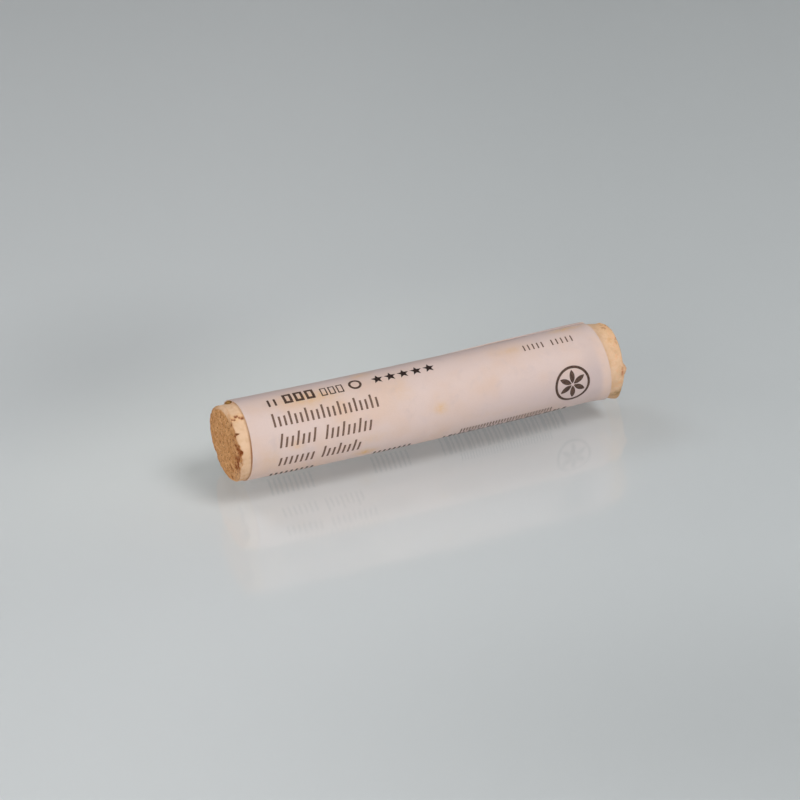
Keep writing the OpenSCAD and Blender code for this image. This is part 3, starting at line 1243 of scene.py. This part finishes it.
@dataclass
class PaperSleeve:
    """The sheet of paper rolled loosely round the pastel, its outer edge lapped over its inner one."""

    layout: StickLayout
    finish: bpy.types.Material
    paper_t: float = 0.12
    lap_gap: float = 0.02
    rows: int = 230
    columns: int = 190
    row_swing: float = 0.08
    inner_edge: float = -76.0
    free_edge: float = -44.0
    edge_swing: float = 28.0
    climb: float = 9.0
    near_shift: float = 0.12
    near_skew: float = 0.44
    near_lean: float = 0.45
    near_tongue: float = 0.3
    far_skew: float = 0.46
    far_lean: float = -0.40
    flare: float = 0.24
    near_gape: float = 0.11
    blots: tuple[Blot, ...] = (
        Blot(-18.5, 20, 4.4, 11, 0.75), Blot(-11.2, 127, 1.5, 7, 1.0), Blot(1.2, 77, 0.9, 7, 0.8),
        Blot(15.2, 14, 2.4, 6, 0.35), Blot(25.6, -7, 2.6, 6, 0.8), Blot(-22.4, 84, 1.1, 6, 0.7),
        Blot(-9.4, -8, 1.8, 8, 0.5), Blot(-14.4, 46, 1.2, 16, 0.35), Blot(-10.5, 100, 3.0, 8, 0.25),
        Blot(-4.4, 40, 1.4, 18, 0.2), Blot(10.0, 104, 6.0, 9, 0.12), Blot(-26.5, 100, 1.6, 16, 0.25),
    )
    noise: Grain = field(default_factory=lambda: Grain(7))

    def free_turn(self, along: np.ndarray) -> np.ndarray:
        """Turn at which the outer edge ends, a little further over towards the far end."""
        share = ease(along, self.layout.middle_x, self.layout.sleeve_x1)
        return 360 + self.free_edge + self.edge_swing * share

    def edge_x(self, far: bool, turns: np.ndarray) -> np.ndarray:
        """Place along X of a cut edge at each turn.

        Args:
            far: True for the far edge, False for the near one.
            turns: Turns round the stick.

        Returns:
            Places along X.
        """
        angle = np.radians(turns)
        if far:
            return self.layout.sleeve_x1 + self.far_skew * np.sin(angle) + self.far_lean * np.cos(angle)
        skewed = self.near_shift + self.near_skew * np.sin(angle) + self.near_lean * np.cos(angle)
        return self.layout.sleeve_x0 + skewed - self.near_tongue * hump(turns, -28, 24)

    def outer_radius(self, along: np.ndarray, turns: np.ndarray) -> np.ndarray:
        """Distance from the axis to the sheet's outer face.

        Args:
            along: Places along X.
            turns: Turns round the stick.

        Returns:
            Distances, with the lap's climb, the soft waves and the curled edges.
        """
        layout = self.layout
        start = 360 + self.inner_edge
        climbed = ease(turns, start - self.climb, start)
        radius = layout.sleeve_r + climbed * (self.paper_t + self.lap_gap)
        angle = np.radians(turns)
        spots = np.stack([
            along / 2.2, layout.sleeve_r * np.sin(angle), layout.sleeve_r * np.cos(angle),
        ], axis=-1).reshape(-1, 3)
        waves = self.noise.layered(spots, 3.2).reshape(turns.shape)
        dimples = self.noise.layered(spots * np.array([2.2, 1, 1]) + 31, 1.1).reshape(turns.shape)
        off_floor = ease(np.abs(turn_gap(turns, 180)), 12, 60)
        radius = radius + off_floor * (0.035 * waves + 0.012 * dimples)
        from_far = layout.sleeve_x1 - along
        curl = self.flare * np.exp(-np.clip(from_far, 0, None) / 1.1) * (0.12 + 0.88 * hump(turns, 140, 45))
        curl = curl - 0.2 * np.exp(-np.clip(from_far, 0, None) / 1.4) * hump(turns, -30, 40)
        near_end = ease(along, layout.sleeve_x1 - 12, layout.sleeve_x1)
        lift = 0.02 * ease(turns, start + 30, start + 58) * near_end
        from_near = along - layout.sleeve_x0
        gape = self.near_gape * np.exp(-np.clip(from_near, 0, None) / 0.9) * hump(turns, 88, 42)
        return radius + curl + lift + gape

    def surface(self, along: np.ndarray, turns: np.ndarray, rise: float = 0.0) -> np.ndarray:
        """Points on the sheet's outer face, or a little above it.

        Args:
            along: Places along X.
            turns: Turns round the stick.
            rise: Height above the paper.

        Returns:
            Points, with the last axis holding x, y and z.
        """
        radius = self.outer_radius(along, turns) + rise
        points = self.layout.place(along, turns, radius, self.layout.sleeve_z)
        points[..., 2] = np.maximum(points[..., 2], 0.0)
        return points

    def build(self) -> None:
        """Makes the sheet."""
        layout = self.layout
        share_u = np.linspace(0, 1, self.rows)
        share_u = share_u + self.row_swing * np.sin(2 * np.pi * share_u) / (2 * np.pi)
        share_v = np.linspace(0, 1, self.columns)
        u, v = np.meshgrid(share_u, share_v, indexing="ij")
        guess = layout.sleeve_x0 + u * (layout.sleeve_x1 - layout.sleeve_x0)
        turns = self.inner_edge + v * (self.free_turn(guess) - self.inner_edge)
        near, far = self.edge_x(False, turns), self.edge_x(True, turns)
        along = near + u * (far - near)
        outer = self.surface(along, turns).reshape(-1, 3)
        inner = self.surface(along, turns, -self.paper_t).reshape(-1, 3)
        piece = Piece("paper_sleeve_sheet", np.vstack([outer, inner]), self.faces())
        sheet = np.stack([along - layout.middle_x, layout.sleeve_r * np.radians(turns), 0 * along], axis=-1)
        stain = self.stain_share(along, turns)
        inside = np.maximum(stain, 0.8 * np.exp(-(along - near) / 0.6))
        piece.paint(
            sheet=np.tile(sheet.reshape(-1, 3), (2, 1)),
            stain=np.concatenate([stain.ravel(), inside.ravel()]),
            cool=np.tile(self.cool_share(along, turns).ravel(), 2),
        )
        piece.smooth(40)
        piece.dress(self.finish, Slot.PAPER, "paper_sleeve")

    def faces(self) -> list:
        """Faces of the sheet's outer side, its inner side and its four cut edges.

        Returns:
            The corner numbers of each face.
        """
        count = self.rows * self.columns
        faces = np.vstack([
            grid_faces(self.rows, self.columns),
            grid_faces(self.rows, self.columns, start=count, flip=True),
        ]).tolist()
        index = np.arange(count).reshape(self.rows, self.columns)
        border = np.concatenate([index[0], index[1:, -1], index[-1, -2::-1], index[-2:0:-1, 0]])
        for a, b in zip(border, np.roll(border, -1)):
            faces.append((b, a, a + count, b + count))
        return faces

    def stain_share(self, along: np.ndarray, turns: np.ndarray) -> np.ndarray:
        """How strongly pigment has stained the outer face.

        Args:
            along: Places along X.
            turns: Turns round the stick.

        Returns:
            A share from 0 to 1 for each corner.
        """
        stain = np.zeros(turns.shape)
        for blot in self.blots:
            reach = ((along - self.layout.middle_x - blot.along) / blot.half_length) ** 2
            reach = reach + (turn_gap(turns, blot.turn) / blot.half_turn) ** 2
            stain = np.maximum(stain, blot.strength * np.exp(-reach))
        return stain

    def cool_share(self, along: np.ndarray, turns: np.ndarray) -> np.ndarray:
        """How far the paper's colour turns from rose to mauve: lavender patches towards the far end and in a
        stripe near the far edge, fading out at that edge, and a band of painted shade along the sleeve's top
        edge.

        Args:
            along: Places along X.
            turns: Turns round the stick.

        Returns:
            A share from 0 to 1 for each corner.
        """
        towards_far = ease(along - self.layout.middle_x, -10, 24)
        # painted shade: a strong greyish-mauve band along the top edge, where the sleeve looks dimmer and
        # cooler
        cool = np.clip(towards_far * hump(turns, 100, 34) + 0.9 * hump(turns, -14, 16), 0, 1)
        from_far = self.layout.sleeve_x1 - along
        stripe = 0.5 * hump(turns, 62, 40) * ease(from_far, 0.8, 2.0) * (1 - ease(from_far, 2.6, 5.0))
        return np.clip(cool * ease(from_far, 0.4, 1.6) + stripe, 0, 1)


# ---- The print -------------------------------------------------------------------


Outline = list[tuple[float, float]]


@dataclass
class Stamp:
    """Flat shapes gathered before they are laid on the sleeve.

    +x runs along the stick and +y back over the top. The stamp's own slope turns it, in degrees.
    """

    along: float
    turn: float
    slope: float
    shapes: list[Outline] = field(default_factory=list)

    def bar(self, x: float, y: float, width: float, height: float, lean: float = 0.0) -> None:
        """An upright or slanted bar.

        Args:
            x: Its left edge.
            y: What it stands on.
            width: Its width.
            height: Its height.
            lean: How far it leans to the right, in degrees.
        """
        run = height * math.tan(math.radians(lean))
        self.shapes.append([(x, y), (x + width, y), (x + width + run, y + height), (x + run, y + height)])

    def star(self, x: float, y: float, size: float, waist: float) -> None:
        """A five-pointed star, as ten triangles round its middle.

        Args:
            x: Its middle along the row.
            y: Its middle across the row.
            size: Its width.
            waist: How far out its inner corners lie, as a share of its points.
        """
        tips = []
        for k in range(10):
            angle, share = k * math.pi / 5, 1 if k % 2 == 0 else waist
            tips.append((x + math.sin(angle) * size / 2 * share, y + math.cos(angle) * size / 2 * share))
        for k in range(10):
            self.shapes.append([(x, y), tips[(k + 1) % 10], tips[k]])

    def ring(self, x: float, y: float, size: float, width: float, parts: int = 56) -> None:
        """A plain ring, as short pieces round it.

        Args:
            x: Its middle along the row.
            y: Its middle across the row.
            size: Its outer width.
            width: Width of its line.
            parts: How many pieces it has.
        """
        outer, inner = size / 2, size / 2 - width
        angles = [k * 2 * math.pi / parts for k in range(parts + 1)]
        spots = [(math.cos(angle), math.sin(angle)) for angle in angles]
        for (c0, s0), (c1, s1) in zip(spots, spots[1:]):
            self.shapes.append([
                (x + inner * c0, y + inner * s0), (x + outer * c0, y + outer * s0),
                (x + outer * c1, y + outer * s1), (x + inner * c1, y + inner * s1),
            ])

    def frame(self, x: float, y: float, wide: float, high: float, width: float) -> None:
        """A hollow box.

        Args:
            x: Its middle along the row.
            y: Its middle across the row.
            wide: Its width.
            high: Its height.
            width: Width of its line.
        """
        left, low = x - wide / 2, y - high / 2
        self.bar(left, low, wide, width)
        self.bar(left, low + high - width, wide, width)
        self.bar(left, low + width, width, high - 2 * width)
        self.bar(left + wide - width, low + width, width, high - 2 * width)

    def petal(self, x: float, y: float, reach: float, heading: float, gap: float) -> None:
        """One petal of a compass-drawn rosette.

        Args:
            x: The rosette's middle along the row.
            y: The rosette's middle across the row.
            reach: Length of the petal.
            heading: Where it points, in degrees.
            gap: How far it starts from the middle.
        """
        steps = 9
        bend = math.radians(43)
        outline = []
        for side in (1, -1):
            for k in range(steps):
                part = -bend + 2 * bend * k / (steps - 1)
                out = reach / 2 * (1 + side * math.sin(part) / math.sin(bend))
                wide = side * reach / 2 * (math.cos(part) - math.cos(bend)) / math.sin(bend)
                outline.append((gap + out, wide))
        turn = math.radians(heading)
        cos, sin = math.cos(turn), math.sin(turn)
        spun = [(x + a * cos - b * sin, y + a * sin + b * cos) for a, b in outline]
        self.shapes.append(spun[::-1])


@dataclass(frozen=True)
class Word:
    """How the strokes of one word look: sizes in millimetres, lean in degrees."""

    tall: float
    short: float
    width: float
    lean: float = 0.0


@dataclass
class SleevePrint:
    """The print on the sleeve: plain strokes, bars, stars, a ring and a rosette, with no lettering."""

    sleeve: PaperSleeve
    finish: bpy.types.Material
    ink_rise: float = 0.012
    ink_sink: float = 0.02
    strip: float = 0.45
    stroke_w: float = 0.34
    fine_w: float = 0.22
    tall_h: float = 2.2
    short_h: float = 1.6

    def lay(self, name: str, stamps: Sequence[Stamp], faint: float = 0.0, first: bool = False) -> None:
        """Lays stamps on the sleeve as one thin piece.

        Args:
            name: Name of the piece.
            stamps: The flat shapes.
            faint: How thin the ink lies, from 0 to 1.
            first: True for the piece that stands for the CAD print.
        """
        points, faces = [], []
        for stamp in stamps:
            start = sum(len(part) for part in points)
            top, low, stamped = self.press(stamp, start)
            points += [top, low]
            faces += stamped
        piece = Piece(name, np.vstack(points), faces)
        piece.paint(faint=np.full(len(piece.mesh.vertices), faint))
        piece.smooth(30)
        piece.dress(self.finish, Slot.INK, *(["sleeve_print"] if first else []))

    def cut_flat(self, stamp: Stamp) -> bmesh.types.BMesh:
        """Cuts a stamp's flat shapes into strips that are narrow enough to bend round the sleeve.

        Args:
            stamp: The flat shapes.

        Returns:
            The flat mesh, which the caller frees.
        """
        flat = bmesh.new()
        for shape in stamp.shapes:
            flat.faces.new([flat.verts.new((x, y, 0)) for x, y in shape])
        bmesh.ops.remove_doubles(flat, verts=flat.verts, dist=0.002)
        heights = [v.co.y for v in flat.verts]
        level = math.floor(min(heights) / self.strip) * self.strip
        while level < max(heights):
            bmesh.ops.bisect_plane(
                flat, geom=flat.verts[:] + flat.edges[:] + flat.faces[:],
                plane_co=(0, level, 0), plane_no=(0, 1, 0), dist=0.001,
            )
            level += self.strip
        bmesh.ops.recalc_face_normals(flat, faces=flat.faces)
        bmesh.ops.triangulate(flat, faces=flat.faces)
        flat.verts.index_update()
        return flat

    def press(self, stamp: Stamp, start: int) -> tuple[np.ndarray, np.ndarray, list]:
        """Bends one stamp's shapes onto the sleeve.

        Args:
            stamp: The flat shapes.
            start: Number of the first corner.

        Returns:
            The corners of the ink's top and of its underside, and the faces.
        """
        flat = self.cut_flat(stamp)
        spots = np.array([v.co for v in flat.verts])
        rings = [[v.index for v in (f.verts if f.normal.z > 0 else reversed(f.verts))] for f in flat.faces]
        slope = math.radians(stamp.slope)
        along = stamp.along + spots[:, 0] * math.cos(slope) + spots[:, 1] * math.sin(slope)
        back = -spots[:, 0] * math.sin(slope) + spots[:, 1] * math.cos(slope)
        turns = stamp.turn - np.degrees(back / self.sleeve.layout.sleeve_r)
        top = self.sleeve.surface(along, turns, self.ink_rise)
        low = self.sleeve.surface(along, turns, -self.ink_sink)
        under = start + len(spots)
        faces = [[start + i for i in ring] for ring in rings]
        faces += [[under + i for i in reversed(ring)] for ring in rings]
        for edge in flat.edges:
            if len(edge.link_faces) != 1:
                continue
            loop = next(near for near in edge.link_faces[0].loops if near.edge == edge)
            a, b = loop.vert.index, loop.link_loop_next.vert.index
            if edge.link_faces[0].normal.z < 0:
                a, b = b, a
            faces.append([start + b, start + a, under + a, under + b])
        flat.free()
        return top, low, faces

    def strokes(self, stamp: Stamp, x: float, count: int, pitch: float, word: Word) -> float:
        """A word's worth of strokes, where every third one is tall.

        Args:
            stamp: Where the strokes go.
            x: Where the first one stands.
            count: How many there are.
            pitch: Distance from one to the next.
            word: Their heights, width and lean.

        Returns:
            Where the next stroke would stand.
        """
        for k in range(count):
            stamp.bar(x + k * pitch, 0, word.width, word.tall if k % 3 == 0 else word.short, word.lean)
        return x + count * pitch

    def build(self) -> None:
        """Makes all the rows of print."""
        x0 = self.sleeve.layout.sleeve_x0
        x1 = self.sleeve.layout.sleeve_x1
        self.mark_row(Stamp(x0 + 4.4, 15, 0))
        self.star_row(Stamp(x0 + 22.75, 11.5, 0))
        self.stroke_rows(Stamp(x0 + 4.7, 54, 0.5), Stamp(x0 + 4.9, 84, 0.5), Stamp(x0 + 4.5, 114, 0.5))
        self.fine_rows(Stamp(x1 - 12.8, 22, 1.7), Stamp(x1 - 25.3, 133.2, 0))
        self.bar_rows(Stamp(x0 + 3.6, 160, 0), Stamp(x0 + 20.4, 160, 0), Stamp(x0 + 32.1, 172, 0))
        self.rosette(Stamp(x1 - 6.35, 88.0, 0))

    def mark_row(self, marks: Stamp) -> None:
        """The top row: two strokes, three heavy boxes, three light ones and a ring.

        Args:
            marks: Where the row starts.
        """
        foot = -0.77
        for k in range(2):
            marks.bar(0.5 + 1.0 * k, foot, self.stroke_w, 1.5)
        for k in range(3):
            marks.frame(3.75 + 1.78 * k, foot + 1.05, 1.4, 2.1, 0.42)
        for k in range(3):
            marks.frame(9.5 + 1.32 * k, foot + 0.87, 1.0, 1.75, 0.2)
        marks.ring(14.65, foot + 1.05, 2.1, 0.38)
        self.lay("print_mark_row", [marks], 0.32, first=True)

    def star_row(self, stars: Stamp) -> None:
        """Five stars."""
        for k in range(5):
            stars.star(2.13 * k, 0, 2.0, 0.43)
        self.lay("print_star_row", [stars])

    def stroke_rows(self, upper: Stamp, middle: Stamp, lower: Stamp) -> None:
        """Three rows of strokes below the top row, the lower two in two words each.

        Args:
            upper: Where the upper row starts.
            middle: Where the middle row starts.
            lower: Where the lower row starts.
        """
        upright = Word(self.tall_h, self.short_h, self.stroke_w)
        leaning = Word(self.tall_h, self.short_h, self.stroke_w, 14)
        even = Word(self.short_h, self.short_h, self.stroke_w, 14)
        self.strokes(upper, 0, 20, 0.865, upright)
        after = self.strokes(middle, 0, 7, 0.88, leaning)
        self.strokes(middle, after + 1.1, 9, 0.88, leaning)
        after = self.strokes(lower, 0, 7, 0.86, even)
        self.strokes(lower, after + 0.9, 8, 0.82, leaning)
        self.lay("print_stroke_rows", [upper, middle, lower], 0.78)

    def fine_rows(self, code: Stamp, dashes: Stamp) -> None:
        """Two short words of small strokes, and a long row of dashes.

        Args:
            code: Where the two words start.
            dashes: Where the dashes start.
        """
        small = Word(1.25, 1.25, self.fine_w)
        after = self.strokes(code, 0, 5, 0.78, small)
        self.strokes(code, after + 0.9, 5, 0.84, small)
        for k in range(32):
            dashes.bar(0.5 * k, 0, self.fine_w, 1.15)
        self.lay("print_fine_rows", [code, dashes], 0.6)

    def bar_rows(self, first: Stamp, second: Stamp, ladder: Stamp) -> None:
        """Two rows of even bars on the underside, and a ladder of uneven ones.

        Args:
            first: Where the first row starts.
            second: Where the second row starts.
            ladder: Where the ladder starts.
        """
        for stamp, count in ((first, 9), (second, 8)):
            for k in range(count):
                stamp.bar(0.82 * k, 0, 0.36, 2.9)
        at, widths = 0.0, (0.3, 0.6, 0.3, 0.45)
        for k in range(26):
            ladder.bar(at, 0, widths[k % 4], 4.0)
            at += widths[k % 4] + widths[(k * 3 + 1) % 4]
        self.lay("print_bar_rows", [first, second, ladder], 0.3)

    def rosette(self, mark: Stamp) -> None:
        """A ring with a rosette of six petals in it.

        Args:
            mark: Where its middle lies.
        """
        size, width, gap = 6.1, 0.42, 0.2
        mark.ring(0, 0, size, width, 96)
        for k in range(6):
            mark.petal(0, 0, size / 2 - width - gap * 2, 60 * k + 30, gap)
        self.lay("print_rosette", [mark], 0.35)


# ---- Floor, light and camera -------------------------------------------------------


@dataclass(frozen=True)
class Lamp:
    """A soft box that looks at the stick.

    Its azimuth and elevation are in degrees, its distance, size and height in metres and its power in watts.
    Only a mirrored lamp shows in the clear sheet and the coat.
    """

    name: str
    azimuth: float
    elevation: float
    distance: float
    size: float
    power: float
    colour: Triple = (1.0, 1.0, 1.0)
    height: float | None = None
    mirrored: bool = False

    def hang(self) -> None:
        """Makes the lamp, azimuth counted from the front towards +X."""
        a, e = math.radians(self.azimuth), math.radians(self.elevation)
        way = Vector((math.sin(a) * math.cos(e), -math.cos(a) * math.cos(e), math.sin(e)))
        data = bpy.data.lights.new(self.name, "AREA")
        data.shape, data.size, data.size_y = "ELLIPSE", self.size, self.height or self.size
        data.energy, data.color = self.power, self.colour
        lamp = bpy.data.objects.new(self.name, data)
        lamp.location = way * self.distance
        lamp.rotation_mode = "QUATERNION"
        lamp.rotation_quaternion = way.to_track_quat("Z", "Y")
        lamp.visible_glossy = self.mirrored
        bpy.context.scene.collection.objects.link(lamp)


@dataclass
class Studio:
    """Pale floor, plain soft light and the camera.

    The floor is floor_half metres to each side and lies sheet_depth millimetres below the clear sheet. The
    camera's angles are in degrees, and its distance and lens in millimetres.
    """

    layout: StickLayout
    floor_half: float = 1.6
    sheet_depth: float = 4.0
    ambient: float = 0.14
    ambient_tint: Colour = (1.0, 0.985, 0.95, 1.0)
    backdrop: Colour = srgb(118, 120, 121)
    azimuth: float = -20.12
    elevation: float = 28.0
    roll: float = -2.99
    pan: float = 0.4715
    tilt: float = 0.03
    distance: float = 376.6
    lens: float = 108.0
    sensor: float = 36.0
    lamps: tuple[Lamp, ...] = (
        Lamp("key_box", 25, 50, 0.9, 0.36, 3.38, mirrored=True),
        Lamp("front_low_box", -20, 20, 1.4, 2.1, 5.2, (1.0, 0.985, 0.95), 0.8, mirrored=True),
        Lamp("front_high_box", -20, 50, 0.9, 0.36, 0.35),
        Lamp("left_box", -60, 22, 0.9, 0.5, 1.07, (1.0, 0.985, 0.95)),
        Lamp("side_box", -95, 22, 0.9, 0.5, 1.0, (1.0, 0.985, 0.95)),
        Lamp("back_box", -140, 50, 0.9, 0.36, 1.0, (0.94, 1.0, 1.04)),
        Lamp("top_box", 0, 84, 0.9, 0.36, 0.38),
    )

    def build(self) -> None:
        """Makes the floor, the lights, the surroundings and the camera."""
        scene = bpy.context.scene
        scene.view_settings.view_transform = "Standard"
        self.slab("floor", -self.sheet_depth, FloorFinish().build())
        self.slab("clear_sheet", 0.0, ClearSheetFinish().build())
        for lamp in self.lamps:
            lamp.hang()
        self.surround()
        self.aim()

    def slab(self, name: str, level: float, material: bpy.types.Material) -> None:
        """Makes one flat part of the floor.

        Args:
            name: Name of the part.
            level: Its height, in millimetres.
            material: Its finish.
        """
        mesh = bpy.data.meshes.new(name)
        h, z = self.floor_half, level * MM
        mesh.from_pydata([(-h, -h, z), (h, -h, z), (h, h, z), (-h, h, z)], [], [(0, 1, 2, 3)])
        floor = bpy.data.objects.new(name, mesh)
        bpy.context.scene.collection.objects.link(floor)
        mesh.materials.append(material)

    def surround(self) -> None:
        """Even light from all round, with a pale colour where the camera or a gloss sees past the floor."""
        world = bpy.data.worlds.new("surroundings")
        bpy.context.scene.world = world
        world.use_nodes = True
        tree = world.node_tree
        tree.nodes.clear()
        light, seen = tree.nodes.new("ShaderNodeBackground"), tree.nodes.new("ShaderNodeBackground")
        light.inputs["Strength"].default_value = self.ambient
        light.inputs["Color"].default_value = self.ambient_tint
        seen.inputs["Color"].default_value = self.backdrop
        path, either, mixer = (tree.nodes.new(kind) for kind in (
            "ShaderNodeLightPath", "ShaderNodeMath", "ShaderNodeMixShader"))
        either.operation = "MAXIMUM"
        tree.links.new(path.outputs["Is Camera Ray"], either.inputs[0])
        tree.links.new(path.outputs["Is Glossy Ray"], either.inputs[1])
        tree.links.new(either.outputs[0], mixer.inputs[0])
        tree.links.new(light.outputs[0], mixer.inputs[1])
        tree.links.new(seen.outputs[0], mixer.inputs[2])
        out = tree.nodes.new("ShaderNodeOutputWorld")
        tree.links.new(mixer.outputs[0], out.inputs["Surface"])

    def aim(self) -> None:
        """Makes the camera, which looks down at the stick from the front left."""
        a, e = math.radians(self.azimuth), math.radians(self.elevation)
        back = Vector((math.sin(a) * math.cos(e), -math.cos(a) * math.cos(e), math.sin(e)))
        middle = self.layout.middle_x
        target = Vector((middle, float(self.layout.bow(middle)), self.layout.sleeve_r))
        right = (-back).cross(Vector((0, 0, 1))).normalized()
        up = right.cross(-back)
        tip, swing, nod = math.radians(self.roll), math.radians(self.pan), math.radians(self.tilt)
        rolled = right * math.cos(tip) + up * math.sin(tip)
        upright = up * math.cos(tip) - right * math.sin(tip)
        panned = rolled * math.cos(swing) - back * math.sin(swing)
        level = back * math.cos(swing) + rolled * math.sin(swing)
        away = level * math.cos(nod) - upright * math.sin(nod)
        raised = upright * math.cos(nod) + level * math.sin(nod)
        data = bpy.data.cameras.new("camera")
        data.lens, data.sensor_width = self.lens, self.sensor
        data.clip_start, data.clip_end = 0.01, 20
        camera = bpy.data.objects.new("camera", data)
        axes = Matrix((panned, raised, away)).transposed().to_4x4()
        camera.matrix_world = Matrix.Translation((target + back * self.distance) * MM) @ axes
        bpy.context.scene.collection.objects.link(camera)
        bpy.context.scene.camera = camera


def main() -> None:
    """Builds the stick, its sleeve, the print and the studio."""
    logging.basicConfig(level=logging.INFO, format="%(name)s: %(message)s")
    layout = StickLayout.from_frame()
    log.info("pastel radius %.2f mm, sleeve radius %.2f mm", layout.pastel_r, layout.sleeve_r)
    PastelStick(layout, PastelFinish().build()).build()
    sleeve = PaperSleeve(layout, PaperFinish().build())
    sleeve.build()
    SleevePrint(sleeve, InkFinish().build()).build()
    Studio(layout).build()


if __name__ == "__main__":
    main()
